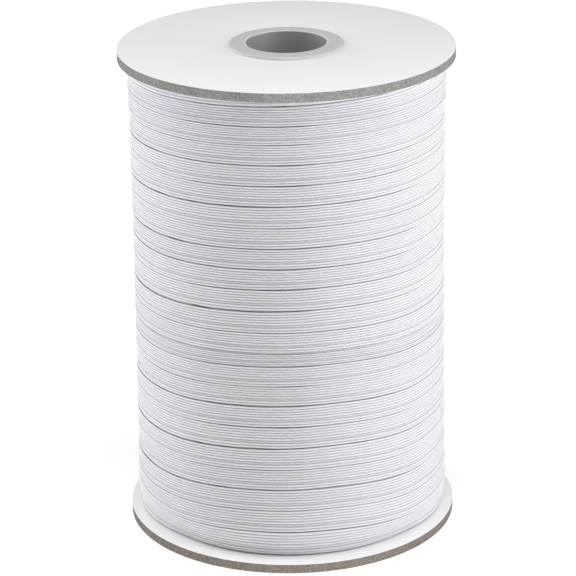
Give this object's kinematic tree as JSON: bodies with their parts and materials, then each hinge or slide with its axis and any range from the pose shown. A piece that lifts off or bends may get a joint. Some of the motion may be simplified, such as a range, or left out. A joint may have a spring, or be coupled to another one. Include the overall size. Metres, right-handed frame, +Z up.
{
  "type": "roll of elastic on a reel",
  "caption": "Roll of white flat braided elastic wound in a helix between two white-lined greyboard discs, on a flanged plastic core with a bore for a rod.",
  "frame": {"origin": "centre of the lower flange's underside, on which the reel stands", "axes": "+Z up along the reel's bore, -Y towards the front of the reel, +X to the right seen from the front"},
  "size_m": [0.1, 0.1, 0.151],
  "materials": {
    "board": "white paper facing on raw greyboard",
    "core_plastic": "satin moulded",
    "elastic": "ribbed braid"
  },
  "bodies": {
    "root": {"disc_bottom": "board", "disc_top": "board", "core_bottom": "core_plastic", "core_top": "core_plastic", "elastic_winding": "elastic"}
  },
  "joints": []
}
